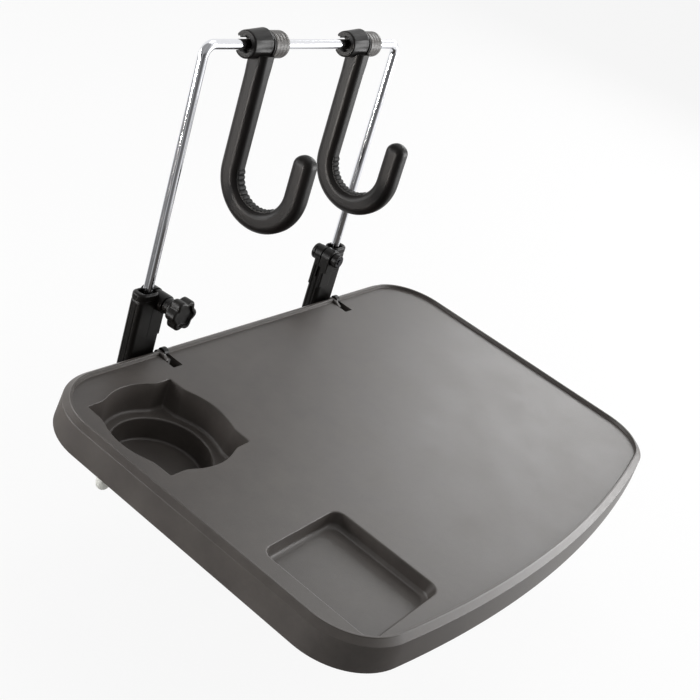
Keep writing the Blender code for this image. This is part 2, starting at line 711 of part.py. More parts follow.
def make_clamp_nut(side, screw_point):
    """The hexagon nut in its boss, flush with the boss's end."""
    y = -knob_way(side) * (NUT_BOSS_REACH[side] - NUT_THICKNESS / 2)
    body = cylinder(NUT_ACROSS_FLATS / math.sqrt(3), NUT_THICKNESS, (0.0, y, 0.0), "Y", None, 6)
    nut = mesh_object(side + "_clamp_nut", body, screw_point, blackened_steel("clamp_nut"))
    bore = cylinder(SCREW_D / 2 + GAP, NUT_THICKNESS + 2 * OVERRUN, (0.0, y, 0.0), "Y", None, 20)
    cut(nut, bore, side + "_nut_bore")
    return nut


def knob_start(side):
    """How far from the leg's middle a knob's hub begins, at its boss's face."""
    return BOSS_REACH[side] + GAP


def make_clamp_screw(side, screw_point):
    """The clamp screw, from inside the knob's hub through the sleeve and past the nut."""
    way = knob_way(side)
    near = knob_start(side) + SCREW_IN_KNOB[side]
    far = NUT_BOSS_REACH[side] + SCREW_BEYOND_NUT
    body = cylinder(SCREW_D / 2, near + far, (0.0, way * (near - far) / 2, 0.0), "Y", None, 20)
    return mesh_object(side + "_clamp_screw", body, screw_point, blackened_steel("clamp_screw"))


def knob_outline(side, shrink):
    """A knob's outline, with round lobes on the left one, drawn in by an amount."""
    count = 8 * KNOB_LOBES
    points = []
    for i in range(count):
        angle = 2 * math.pi * i / count
        radius = KNOB_R[side] + KNOB_LOBE[side] * math.cos(KNOB_LOBES * angle) - shrink
        points.append((radius * math.cos(angle), radius * math.sin(angle)))
    return points


def make_knob(side, screw_point):
    """A knob with a blind hole for its screw: the left one lobed, dished and on a hub, the right low."""
    way = knob_way(side)
    hub_start = knob_start(side)
    start = hub_start + KNOB_HUB[side]
    end = start + KNOB_THICKNESS[side]
    rings = []
    edges = ((start, FINE_BEVEL), (start + FINE_BEVEL, 0.0), (end - FINE_BEVEL, 0.0), (end, FINE_BEVEL))
    for along, shrink in edges:
        rings.append([Vector((x, way * along, z)) for x, z in knob_outline(side, shrink)])
    knob = mesh_object(side + "_knob", loft(rings), screw_point, black_plastic("knob"))
    if KNOB_HUB[side]:
        hub_length = KNOB_HUB[side] + FINE_BEVEL
        hub_middle = (0.0, way * (hub_start + hub_length / 2), 0.0)
        join(knob, cylinder(KNOB_HUB_D / 2, hub_length, hub_middle, "Y", None, 28), side + "_hub")
        dish_middle = (0.0, way * (end + (OVERRUN - KNOB_DISH_DEPTH) / 2), 0.0)
        dish = cylinder(KNOB_DISH_D / 2, KNOB_DISH_DEPTH + OVERRUN, dish_middle, "Y", None, 28)
        cut(knob, dish, side + "_dish")
    depth = SCREW_IN_KNOB[side] + GAP + OVERRUN
    hole_middle = (0.0, way * (hub_start - OVERRUN + depth / 2), 0.0)
    cut(knob, cylinder(SCREW_D / 2 + GAP, depth, hole_middle, "Y", None, 20), side + "_knob_hole")
    return knob


def rim_seat_from_bar():
    """The lowest point of the hooks' seats, from the bar: back and up, in world axes."""
    back = HOOK_ARM_BEHIND - HOOK_BOWL_R
    down = HOOK_BOWL_DOWN
    y = back * math.cos(LEAN) - down * math.sin(LEAN)
    z = -back * math.sin(LEAN) - down * math.cos(LEAN)
    return y, z - (HOOK_BOWL_R - HOOK_DEPTH / 2)


def build():
    """Put the whole part together, every moving piece under an empty on its joint's axis."""
    seat_y, seat_z = rim_seat_from_bar()
    bar = empty("bar_axis", (0.0, -seat_y, -seat_z), -LEAN)
    make_wire_frame(bar)
    for side in SIDES:
        make_end_cap(side, bar)
        hook_point = empty(side + "_hook_axis", (HOOK_XS[side], 0.0, 0.0), 0.0, bar)
        make_hook(side, hook_point)
        make_grip_pad(side, hook_point)
        make_hook_collar(side, hook_point)
        leg_x = SIDES[side] * LEG_SPACING / 2
        leg_point = empty(side + "_sleeve_axis", (leg_x, 0.0, -HINGE_ALONG_LEG), 0.0, bar)
        make_sleeve(side, leg_point)
        clamp_x, clamp_z = clamp_place(side)
        screw_point = empty(side + "_screw_axis", (clamp_x, 0.0, clamp_z), 0.0, leg_point)
        make_clamp_nut(side, screw_point)
        make_clamp_screw(side, screw_point)
        make_knob(side, screw_point)
    hinge = empty("tray_hinge_axis", (TRAY_OFF_CENTRE, -HINGE_AHEAD_OF_LEG, -HINGE_ALONG_LEG), LEAN, bar)
    make_tray(hinge)
    for side in SIDES:
        make_hinge_pin(side, hinge)


build()
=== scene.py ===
"""A steering wheel tray for its pictures: a moulded tray on two clamped sleeves, a bent wire, two hooks."""
import json
import math

import bmesh
import bpy
import numpy as np
from mathutils import Matrix, Vector
from mathutils.geometry import tessellate_polygon


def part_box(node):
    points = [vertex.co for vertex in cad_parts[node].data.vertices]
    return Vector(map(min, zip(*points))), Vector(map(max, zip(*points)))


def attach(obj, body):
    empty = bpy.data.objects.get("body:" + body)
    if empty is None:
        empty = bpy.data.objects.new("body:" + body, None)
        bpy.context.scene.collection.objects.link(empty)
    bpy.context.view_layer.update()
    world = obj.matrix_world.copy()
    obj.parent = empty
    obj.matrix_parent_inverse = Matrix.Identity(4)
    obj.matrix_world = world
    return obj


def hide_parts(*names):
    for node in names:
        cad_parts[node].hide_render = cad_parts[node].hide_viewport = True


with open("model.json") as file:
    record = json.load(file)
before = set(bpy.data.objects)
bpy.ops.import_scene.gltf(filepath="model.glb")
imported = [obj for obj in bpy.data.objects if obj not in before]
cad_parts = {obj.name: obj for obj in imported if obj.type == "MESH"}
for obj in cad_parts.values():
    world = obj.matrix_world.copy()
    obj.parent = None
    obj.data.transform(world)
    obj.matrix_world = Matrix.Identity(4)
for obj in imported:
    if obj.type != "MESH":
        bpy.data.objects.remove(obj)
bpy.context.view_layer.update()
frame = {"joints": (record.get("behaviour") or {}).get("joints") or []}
joints = {joint["name"]: joint for joint in frame["joints"]}

# The tray: one injection moulding in warm grey ABS. A thin plate lies in a sloping rim with a fine
# raised lip, and a skirt hangs all round. The cup pocket, its well and the recess are drawn down
# from the plate in the same wall. Its zero is the middle of its back edge, level with the lip's top.
zero_from_pins = (0.0, 0.0045, 0.0022)
tray_zero = np.array(joints["tray_fold"]["pos_m"]) + zero_from_pins
tray_width, tray_depth = 0.380, 0.259
tray_corner, front_sweep = 0.042, 0.846
plate_top, plate_under, skirt_foot = -0.0024, -0.0048, -0.0196
pocket_middle, pocket_half, pocket_round = (-0.1378, -0.0605), 0.033, 0.0385
ledge_height, well_floor, well_round = -0.0210, -0.0356, 0.030
recess_middle, recess_halves, recess_corner = (-0.1376, -0.1960), (0.033, 0.0365), 0.007
recess_floor, wall_thick = -0.0112, 0.002
pocket_points, corner_crowding, square_power, soft_change = 320, 0.2, 60, 0.0016
merge_distance, sharp_angle = 2e-6, math.radians(35)


def turned_corner(before, corner, after, radius, steps):
    """Points on an arc of a radius that touches both lines into a corner, spaced evenly by angle."""
    back = (before - corner) / np.linalg.norm(before - corner)
    on = (after - corner) / np.linalg.norm(after - corner)
    half = math.acos(float(np.clip(back @ on, -1, 1))) / 2
    centre = corner + (back + on) / np.linalg.norm(back + on) * radius / math.sin(half)
    first = corner + back * radius / math.tan(half) - centre
    last = corner + on * radius / math.tan(half) - centre
    share = np.linspace(0, 1, steps + 1)[:, None]
    angle = math.pi - 2 * half
    return centre + (np.sin((1 - share) * angle) * first + np.sin(share * angle) * last) / math.sin(angle)


def rounded(corners, steps=4, closed=False):
    """A line through corners (across, up, radius), each corner that has a radius turned by its arc."""
    places = np.array([corner[:2] for corner in corners], float)
    points = []
    for i, (_, _, radius) in enumerate(corners):
        inner = closed or 0 < i < len(corners) - 1
        if radius and inner:
            after = places[(i + 1) % len(places)]
            points.append(turned_corner(places[i - 1], places[i], after, radius, steps))
        else:
            points.append(places[i:i + 1])
    return np.concatenate(points)


def tray_edge():
    """The tray's plan and its outward normals: straight back and sides, a bowed front, four corner arcs."""
    side = tray_width / 2 - tray_corner
    front_centre = front_sweep - tray_depth
    reach = front_sweep - tray_corner
    corner_y = front_centre - math.sqrt(reach ** 2 - side ** 2)
    lean = math.atan2(corner_y - front_centre, side)
    arcs = [(side, -tray_corner, tray_corner, 0, math.pi / 2, 20),
            (-side, -tray_corner, tray_corner, math.pi / 2, math.pi, 20),
            (-side, corner_y, tray_corner, math.pi, math.pi - lean, 20),
            (0, front_centre, front_sweep, math.pi - lean, 2 * math.pi + lean, 48),
            (side, corner_y, tray_corner, lean, 0, 20)]
    points, normals = [], []
    for x, y, radius, start, end, steps in arcs:
        angle = np.linspace(start, end, steps + 1)
        normal = np.stack([np.cos(angle), np.sin(angle)], 1)
        keep = slice(1, -1) if radius == front_sweep else slice(None)
        points.append(((x, y) + radius * normal)[keep])
        normals.append(normal[keep])
    return np.concatenate(points), np.concatenate(normals)


def carried(points, normals, profile):
    """A profile (outward, up) carried round a level outline: point + outward * normal, at height up."""
    plan = points[None] + profile[:, None, :1] * normals[None]
    return np.concatenate([plan, np.broadcast_to(profile[:, None, 1:], plan.shape[:2] + (1,))], 2)


def outward(outline):
    """The outward normals of a closed outline that runs anticlockwise."""
    along = np.roll(outline, -1, 0) - np.roll(outline, 1, 0)
    return np.stack([along[:, 1], -along[:, 0]], 1) / np.linalg.norm(along, axis=1)[:, None]


def pocket_directions():
    """Directions round the pocket, crowded at its corners: angle = turn + 0.2 * sin(4 * turn)."""
    turn = np.linspace(0, 2 * math.pi, pocket_points, endpoint=False)
    angle = turn + corner_crowding * np.sin(4 * turn)
    return np.stack([np.cos(angle), np.sin(angle)], 1)


def pocket_ring(half, radius):
    """The cup pocket's plan in polar form: the larger, with a soft change, of a square and a circle."""
    directions = pocket_directions()
    across, along = np.abs(directions).T
    square = half * (across ** square_power + along ** square_power) ** (-1 / square_power)
    reach = (square + radius + np.sqrt((square - radius) ** 2 + soft_change ** 2)) / 2
    return np.array(pocket_middle) + reach[:, None] * directions


def pocket_shell(wall, profile, well_profile):
    """The pocket's surface: rings of its plan, let out by a wall, then the round well's rings."""
    rings = [np.c_[pocket_ring(pocket_half + wall + out, pocket_round + wall + out),
                   np.full(pocket_points, up)] for out, up in profile]
    for radius, up in well_profile:
        plan = np.array(pocket_middle) + radius * pocket_directions()
        rings.append(np.c_[plan, np.full(pocket_points, up)])
    return np.array(rings)


def recess_shell(wall, profile):
    """The recess's surface: a rounded rectangle let out by a wall and by each step of the profile."""
    rings = []
    for out, up in profile:
        x, y = recess_halves[0] + wall + out, recess_halves[1] + wall + out
        corner = recess_corner + wall
        corners = [(x, y, corner), (-x, y, corner), (-x, -y, corner), (x, -y, corner)]
        plan = np.array(recess_middle) + rounded(corners, 12, closed=True)
        rings.append(np.c_[plan, np.full(len(plan), up)])
    return np.array(rings)


def skin(name, grids, fills=()):
    """One mesh from grids of points (points, wraps along, wraps across) and filled flat outlines.

    Each grid square becomes a face, each outline with its holes is cut into triangles, seams that
    meet are merged, and all faces are turned outwards.
    """
    points, faces, count = [], [], 0
    for grid, wrap_along, wrap_across in grids:
        rows, columns = grid.shape[:2]
        a, b = np.meshgrid(np.arange(rows - (not wrap_along)), np.arange(columns - (not wrap_across)),
                           indexing="ij")
        c, d = (a + 1) % rows, (b + 1) % columns
        square = np.stack([a * columns + b, c * columns + b, c * columns + d, a * columns + d], -1)
        faces += (square.reshape(-1, 4) + count).tolist()
        points.append(grid.reshape(-1, 3))
        count += rows * columns
    for loops in fills:
        triangles = tessellate_polygon([[Vector(point) for point in loop] for loop in loops])
        faces += (np.array(triangles) + count).tolist()
        points += loops
        count += sum(len(loop) for loop in loops)
    mesh = bpy.data.meshes.new(name)
    mesh.from_pydata(np.concatenate(points).tolist(), [], faces)
    work = bmesh.new()
    work.from_mesh(mesh)
    bmesh.ops.remove_doubles(work, verts=work.verts, dist=merge_distance)
    bmesh.ops.recalc_face_normals(work, faces=work.faces)
    work.to_mesh(mesh)
    work.free()
    mesh.shade_smooth()
    mesh.set_sharp_from_angle(angle=sharp_angle)
    piece = bpy.data.objects.new(name, mesh)
    bpy.context.scene.collection.objects.link(piece)
    return piece


def carve(piece, bodies, operation):
    """Joins bodies on to a piece, or cuts them from it, all in one step, and removes them."""
    group = bpy.data.collections.new("bodies")
    for body in bodies:
        group.objects.link(body)
    modifier = piece.modifiers.new("carve", "BOOLEAN")
    modifier.operation = operation
    modifier.operand_type = "COLLECTION"
    modifier.collection = group
    graph = bpy.context.evaluated_depsgraph_get()
    mesh = bpy.data.meshes.new_from_object(piece.evaluated_get(graph))
    piece.modifiers.clear()
    piece.data = mesh
    mesh.set_sharp_from_angle(angle=sharp_angle)
    for body in bodies:
        bpy.data.objects.remove(body)
    bpy.data.collections.remove(group)


def block(low, high):
    """A plain block between two corners, for cutting with."""
    x, y = np.array([low[0], high[0], high[0], low[0]]), np.array([low[1], low[1], high[1], high[1]])
    rings = np.array([np.c_[x, y, np.full(4, z)] for z in (low[2], high[2])])
    return skin("block", [(rings, False, True)], [[rings[0]], [rings[1]]])


def linear(colour):
    """An sRGB hex colour as linear red, green, blue and a full alpha."""
    channels = np.array([int(colour[i:i + 2], 16) for i in (1, 3, 5)]) / 255
    curve = np.where(channels <= 0.04045, channels / 12.92, ((channels + 0.055) / 1.055) ** 2.4)
    return (*curve.tolist(), 1.0)


def add(tree, kind, settings, links={}):
    """A shader node with its settings, and links from (node, output) to its inputs."""
    node = tree.nodes.new("ShaderNode" + kind)
    for key, value in settings.items():
        if isinstance(key, str) and hasattr(node, key):
            setattr(node, key, value)
        else:
            node.inputs[key].default_value = value
    for key, (source, output) in links.items():
        tree.links.new(source.outputs[output], node.inputs[key])
    return node


def finish(name, settings):
    """A material of this name, with its tree and its Principled shader set to these values."""
    material = bpy.data.materials.new(name)
    material.use_nodes = True
    tree = material.node_tree
    shader = tree.nodes["Principled BSDF"]
    for key, value in settings.items():
        shader.inputs[key].default_value = value
    return material, tree, shader


def moulded_plastic(name, dark, light, roughness, grain_mm, grain_depth, specular=0.5):
    """Moulded plastic: two close colours in soft clouds, a fine eroded grain, and uneven gloss."""
    material, tree, shader = finish(name, {"Specular IOR Level": specular})
    place = add(tree, "TexCoord", {})
    clouds = add(tree, "TexNoise", {"Scale": 28.0, "Detail": 7.0, "Roughness": 0.72},
                 {"Vector": (place, "Object")})
    tint = add(tree, "ValToRGB", {}, {"Fac": (clouds, "Fac")})
    tint.color_ramp.elements[0].position = 0.35
    tint.color_ramp.elements[0].color = linear(dark)
    tint.color_ramp.elements[1].position = 0.65
    tint.color_ramp.elements[1].color = linear(light)
    gloss = add(tree, "MapRange", {"From Min": 0.3, "From Max": 0.7, "To Min": roughness - 0.03,
                                   "To Max": roughness + 0.03}, {"Value": (clouds, "Fac")})
    grain = add(tree, "TexNoise", {"Scale": 1000.0 / grain_mm, "Detail": 2.0, "Roughness": 0.6},
                {"Vector": (place, "Object")})
    bump = add(tree, "Bump", {"Strength": 0.5, "Distance": grain_depth}, {"Height": (grain, "Fac")})
    for source, output, key in ((tint, "Color", "Base Color"), (gloss, "Result", "Roughness"),
                                (bump, "Normal", "Normal")):
        tree.links.new(source.outputs[output], shader.inputs[key])
    return material


def dress(piece, place, material, body, slot, *nodes):
    """Puts a finished piece in its place and gives it its material, body and nodes; its slot is not used."""
    piece.data.transform(place)
    piece.data.materials.clear()
    piece.data.materials.append(material)
    weighted = piece.modifiers.new("flat_faces_stay_flat", "WEIGHTED_NORMAL")
    weighted.keep_sharp = True
    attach(piece, body)
    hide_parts(*nodes)


# Each profile below gives (outward, up, corner radius). The rim's and the recess's flat rows stop
# short of each other, because the plate between two outlines that overlap can't be filled.
edge, edge_normals = tray_edge()
rim_profile = rounded([(-0.00685, plate_top, 0), (-0.0066, plate_top, 0.00025),
                       (-0.0061, 0.0, 0.0003), (-0.0050, 0.0, 0.0003), (-0.0046, -0.0005, 0.0003),
                       (-0.0013, -0.0030, 0.0006), (0.0, skirt_foot, 0.0005),
                       (-0.0022, skirt_foot, 0.0004), (-0.0037, plate_under, 0.0006),
                       (-0.0045, plate_under, 0)], 5)
rim = carried(edge, edge_normals, rim_profile)
pocket_top = pocket_shell(
    0.0,
    rounded([(0.0018, plate_top, 0), (0.0012, plate_top, 0), (0.0, plate_top, 0.0005),
             (-0.0020, ledge_height, 0.0022), (-0.0042, ledge_height, 0)], 6),
    rounded([(well_round + 0.0018, ledge_height, 0), (well_round, ledge_height, 0.0012),
             (well_round - 0.001, well_floor, 0.0016), (0.026, well_floor, 0), (0.025, well_floor, 0)]))
ledge_under, well_under = ledge_height - wall_thick, well_floor - wall_thick
pocket_under = pocket_shell(
    wall_thick,
    rounded([(0.0026, plate_under, 0), (0.0020, plate_under, 0), (0.0, plate_under, 0.0008),
             (-0.0020, ledge_under, 0.0012), (-0.0034, ledge_under, 0)]),
    rounded([(well_round + 0.0038, ledge_under, 0), (well_round + 0.002, ledge_under, 0.0008),
             (well_round + 0.001, well_under, 0.0016), (0.028, well_under, 0), (0.027, well_under, 0)]))
recess_top = recess_shell(0.0, rounded([
    (0.00075, plate_top, 0), (0.0, plate_top, 0.0008), (-0.0015, recess_floor, 0.0030),
    (-0.0060, recess_floor, 0), (-0.0066, recess_floor, 0)], 6))
recess_base = recess_floor - wall_thick
recess_under = recess_shell(wall_thick, rounded([
    (0.0007, plate_under, 0), (0.0, plate_under, 0.0006), (-0.0015, recess_base, 0.0030),
    (-0.0060, recess_base, 0), (-0.0066, recess_base, 0)], 6))
tray = skin("moulded_tray",
            [(grid, False, True) for grid in (rim, pocket_top, pocket_under, recess_top, recess_under)],
            [[rim[0], pocket_top[0], recess_top[0]], [rim[-1], pocket_under[0], recess_under[0]],
             [pocket_top[-1]], [pocket_under[-1]], [recess_top[-1]], [recess_under[-1]]])

# At the back edge two slots are cut through the rim for the sleeves' lugs. An ear, moulded with
# the tray, stands near each slot's left edge: its round head holds the steel pin.
slot_from_pin = 0.0057
slot_lefts = [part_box(side + "_hinge_pin")[0].x + slot_from_pin - tray_zero[0]
              for side in ("left", "right")]
slot_width, slot_length, slot_depth, ear_width = 0.008, 0.0197, 0.0152, 0.0036
slot_open, slot_trough = 0.0100, 0.0112


def ear(left):
    """An ear's outline in the YZ plane, drawn out along X, with softly rounded long edges.

    It stands 0.8 mm clear of the slot's left edge.
    """
    outline = rounded([(-0.0012, -0.0004, 0.0022), (-0.0085, -0.0006, 0.0040), (-0.0122, -0.0026, 0.0010),
                       (-0.0122, -0.0100, 0), (-0.0034, -0.0100, 0), (-0.0012, -0.0050, 0)],
                      8, closed=True)
    normals = outward(outline)
    rings = []
    right = left + ear_width
    for x, inset in ((left + 0.0008, 0.0006), (left + 0.0010, 0.0002), (left + 0.0014, 0.0),
                     (right - 0.0006, 0.0), (right - 0.0002, 0.0002), (right, 0.0006)):
        plan = outline - normals * inset
        rings.append(np.c_[np.full(len(plan), x), plan])
    rings = np.array(rings)
    return skin("ear", [(rings, False, True)], [[rings[0]], [rings[-1]]])


for left in slot_lefts:
    right = left + slot_width
    trough = block((left - wall_thick, -slot_length - wall_thick, -slot_trough),
                   (right + wall_thick, -slot_open, -0.0036))
    carve(tray, [trough], "UNION")
    carve(tray, [block((left, -slot_length, wall_thick - slot_trough), (right, 0.001, 0.001)),
                 block((left, -slot_open, -slot_depth), (right, 0.0012, 0.0012))], "DIFFERENCE")
    carve(tray, [ear(left)], "UNION")
# Grey ABS with a spark-eroded grain, drawn at about 0.5 mm so that it shows: satin, with soft bright
# reflections at a low angle.
grey_abs = moulded_plastic("grey_moulded_abs", "#423d3a", "#4d4844", 0.42, 0.5, 0.00008)
dress(tray, Matrix.Translation(tray_zero), grey_abs, "folding_tray", "tray_plastic", "tray")

# The frame: one 6 mm steel wire, bent cold into two legs and the bar between them, then polished
# and chromed. It mirrors the stage with its painted reflections, with fine lines along it from the
# polishing.
lean = math.asin(joints["tray_height"]["axis"][1])
bar_point = np.array([0.0, *joints["left_hook_swing"]["pos_m"][1:]])
leg_up = np.array([0.0, math.sin(lean), math.cos(lean)])
leg_out = np.array([0.0, math.cos(lean), -math.sin(lean)])
wire_radius, leg_spacing, leg_length, bend_radius = 0.003, 0.193, 0.2905, 0.007


def on_frame(x, z=0.0, turned=1):
    """The matrix that puts a piece on the frame: at x across it and z up its legs, or turned half round."""
    columns = [turned * np.array([1.0, 0.0, 0.0]), turned * leg_out, leg_up,
               bar_point + (x, 0.0, 0.0) + z * leg_up]
    return Matrix([*np.stack(columns, 1).tolist(), [0, 0, 0, 1]])


def tube(path, radii, flat, sides=32):
    """A round tube: at each point of a path in a plane, a circle in the plane square to the path."""
    along = np.gradient(path, axis=0)
    along /= np.linalg.norm(along, axis=1)[:, None]
    across = np.cross(along, flat)
    angle = np.linspace(0, 2 * math.pi, sides, endpoint=False)[None, :, None]
    radii = np.asarray(radii)[:, None, None]
    return path[:, None] + radii * (np.cos(angle) * across[:, None] + np.sin(angle) * np.asarray(flat))


half = leg_spacing / 2
bend = np.linspace(0, math.pi / 2, 15)
left_bend = np.stack([-half + bend_radius - bend_radius * np.cos(bend), 0 * bend,
                      -bend_radius + bend_radius * np.sin(bend)], 1)
right_bend = left_bend[::-1] * (-1, 1, 1)
leg_steps = np.array([0.0, 0.0002, 0.0006, 0.0015, 0.05, 0.1, 0.15, 0.2, 0.25])
leg_foot = np.stack([np.full(len(leg_steps), -half), 0 * leg_steps, leg_steps - leg_length], 1)
path = np.concatenate([leg_foot, left_bend, right_bend, leg_foot[::-1] * (-1, 1, 1)])
ends = np.array([0.0024, 0.0027, 0.0030])
radii = np.r_[ends, np.full(len(path) - 2 * len(ends), wire_radius), ends[::-1]]
wire_grid = tube(path, radii, (0.0, 1.0, 0.0))
wire = skin("chromed_wire", [(wire_grid, False, True)], [[wire_grid[0]], [wire_grid[-1]]])
# Chrome on drawn steel: a blue-white metal, almost a mirror, with faint lines from the polishing.
chrome, tree, shader = finish("chromed_drawn_steel",
                              {"Base Color": linear("#e3e4e8"), "Metallic": 1.0})
place = add(tree, "TexCoord", {})
lengthwise = add(tree, "Mapping", {"Scale": (1.0, 1.0, 0.03)}, {"Vector": (place, "Object")})
lines = add(tree, "TexNoise", {"Scale": 2500.0, "Detail": 2.0}, {"Vector": (lengthwise, "Vector")})
gloss = add(tree, "MapRange", {"From Min": 0.3, "From Max": 0.7, "To Min": 0.06, "To Max": 0.14},
            {"Value": (lines, "Fac")})
tree.links.new(gloss.outputs["Result"], shader.inputs["Roughness"])
dress(wire, on_frame(0.0), chrome, "frame", "wire_chrome", "wire_frame")

# The hooks: two black mouldings in glass-filled nylon. Each is a J of rounded section that grows out
# of a barrel. The barrel is open at the back, with a stepped mouth that snaps over the bar.
hook_behind, bowl, bowl_down, tip_up = -0.0033, 0.0245, 0.0725, 0.0200
hook_width, hook_depth, tip_round = 0.0120, 0.0135, 0.0062
barrel_radius, barrel_start, barrel_end = 0.0080, -0.0133, 0.0057
hump_rise, bar_hole = 0.0016, 0.0033


def extruded(outline, profile, axes):
    """Rings of an outline carried along a profile (outward, along), with its axes put in an order."""
    return carried(outline, outward(outline), profile)[..., axes]


def round_rectangle(low, high, radius, steps=8):
    """A rectangle's outline between two corners, anticlockwise, with round corners."""
    corners = [(high[0], high[1], radius), (low[0], high[1], radius),
               (low[0], low[1], radius), (high[0], low[1], radius)]
    return rounded(corners, steps, closed=True)


def arc_points(centre, radius, start, end, steps):
    """Points along an arc about a centre, with angles in degrees."""
    angle = np.radians(np.linspace(start, end, steps + 1))
    return np.array(centre) + radius * np.stack([np.cos(angle), np.sin(angle)], 1)


def hook_rings():
    """The J's sections: straight down, round the bowl, up to the tip, and in to a dome.

    Each is a rounded rectangle whose corners grow from 4.2 to 4.8 mm below the barrel.
    """
    centre = np.array([hook_behind - bowl, -bowl_down])
    heights = [-0.004, -0.009, -0.011, -0.0125, -0.014, -0.0155, -0.017, -0.018, -0.03, -0.045,
               -0.06, -0.07]
    spots = [((hook_behind, z), 0.0, 1.0) for z in heights]
    for angle in np.linspace(0, -math.pi, 41):
        spots.append((centre + bowl * np.array([math.cos(angle), math.sin(angle)]), angle, 1.0))
    for share in (0.3, 0.6, 0.9):
        spots.append((centre + (-bowl, tip_up * share), -math.pi, 1.0))
    for angle in np.linspace(0, 1.5, 10):
        rise = tip_up + tip_round * math.sin(angle)
        spots.append((centre + (-bowl, rise), -math.pi, math.cos(angle)))
    rings = []
    for (y, z), angle, share in spots:
        grown = min(1.0, max(0.0, (-z - 0.011) / 0.007)) if angle == 0.0 else 1.0
        radius = 0.0042 + 0.0006 * grown
        section = round_rectangle((-hook_width / 2, -hook_depth / 2),
                                  (hook_width / 2, hook_depth / 2), radius)
        across = share * section[:, 1]
        rings.append(np.stack([share * section[:, 0], y + across * math.cos(angle),
                               z + across * math.sin(angle)], 1))
    return np.array(rings)


def barrel_rings():
    """The barrel's outside: radius = 8 mm + a hump that rises along its top + ridges and a sunk panel.

    The hump is rise(x) * max(0, sin angle), and each ridge is a bell curve across the front.
    """
    along = np.array([0, 0, 0.2, 0.7, 1.2, 4, 7, 10, 13, 14.6, 15.4, 15.8, 16.2, 16.6, 16.9, 17.2,
                      17.6, 18.3, 18.8, 19, 19]) / 1000 + barrel_start
    shrink = np.array([1.4, 0.6, 0.25, 0, 0, 0, 0, 0, 0, 0, 0, 0.1, 0.3, 0.5, 0.5, 0.2, -0.1, -0.1,
                       0.1, 0.4, 1.0]) / 1000
    rise = np.interp(along, [barrel_start, 0.0024, 0.0034], [0.0, hump_rise, 0.0])
    angle = np.radians(np.arange(0, 360, 2.5))
    lift = 180 - np.degrees(angle)
    ridges = 0.00016 * (np.exp(-((lift - 36) / 6) ** 2) + np.exp(-((lift + 15) / 6) ** 2))
    panel = 0.0003 * (1 / (1 + np.exp(-(lift + 9) / 2)) - 1 / (1 + np.exp(-(lift - 30) / 2)))
    middle = np.interp(along, [-0.0128, -0.0118, 0.0015, 0.0024], [0, 1, 1, 0])
    inner = np.interp(along, [-0.0095, -0.0080, 0.0000, 0.0012], [0, 1, 1, 0])
    radius = (barrel_radius - shrink[:, None] + rise[:, None] * np.maximum(0, np.sin(angle))
              + middle[:, None] * ridges - inner[:, None] * panel)
    return np.stack([along[:, None] + 0 * radius, radius * np.cos(angle), radius * np.sin(angle)], -1)


def rod(radius, low, high, axis, steps=48):
    """A plain round rod through a point along X, Y or Z, for cutting with or joining on."""
    outline = arc_points((0.0, 0.0), radius, 0, 360, steps)[:-1]
    low, high = np.array(low), np.array(high)
    order = {"X": [2, 0, 1], "Y": [0, 2, 1], "Z": [0, 1, 2]}[axis]
    spot = {"X": 0, "Y": 1, "Z": 2}[axis]
    rings = []
    for end in (low, high):
        ring = np.c_[outline, np.zeros(len(outline))][:, order] + low
        ring[:, spot] = end[spot]
        rings.append(ring)
    return np.array(rings)


def solid(name, rings):
    """One closed body through rings of points, flat at both ends."""
    return skin(name, [(rings, False, True)], [[rings[0]], [rings[-1]]])


# Black glass-filled nylon from a fine eroded mould: satin, with a soft and rather dim sheen.
hook_plastic = moulded_plastic("black_glass_filled_nylon", "#0d0b0a", "#141110", 0.4, 0.6, 0.00004, 0.22)
mouth_side = [(0.0, 0.0025), (0.0036, 0.0025), (0.0044, 0.0044), (0.0055, 0.0038), (0.0063, 0.0057),
              (0.0074, 0.0053), (0.0105, 0.0080)]
mouth_steps = [(y, -z) for y, z in mouth_side] + mouth_side[::-1]
turn = math.radians(-9)
turning = np.array([[math.cos(turn), math.sin(turn)], [-math.sin(turn), math.cos(turn)]])
mouth = np.array(mouth_steps) @ turning
seat = bowl - hook_depth / 2
bowl_centre, groove_angles = (hook_behind - bowl, -bowl_down), (-1.0, -129.0)
groove = np.concatenate([arc_points(bowl_centre, seat + 0.0018, *groove_angles, 40),
                         arc_points(bowl_centre, seat - 0.003, *groove_angles[::-1], 40)])
hook = solid("moulded_left_hook", hook_rings())
carve(hook, [solid("barrel", barrel_rings())], "UNION")
bore = rod(bar_hole, (barrel_start - 0.001, 0, 0), (barrel_end + 0.001, 0, 0), "X")
opening = extruded(mouth, np.array([(0, barrel_start - 0.0012), (0, barrel_end + 0.0012)]), [2, 0, 1])
channel = extruded(groove[::-1], np.array([(0, -0.0036), (0, 0.0036)]), [2, 0, 1])
cavity = rod(0.0050, (barrel_start - 0.001, 0, 0), (barrel_start + 0.0050, 0, 0), "X")
carve(hook, [solid("hollow", rings) for rings in (bore, opening, channel, cavity)], "DIFFERENCE")
second_hook = bpy.data.objects.new("moulded_right_hook", hook.data.copy())
bpy.context.scene.collection.objects.link(second_hook)
hook_x = {side: joints[side + "_hook_swing"]["pos_m"][0] for side in ("left", "right")}
for side, piece in (("left", hook), ("right", second_hook)):
    dress(piece, on_frame(hook_x[side]), hook_plastic, side + "_hanger", "hook_plastic", side + "_hook")

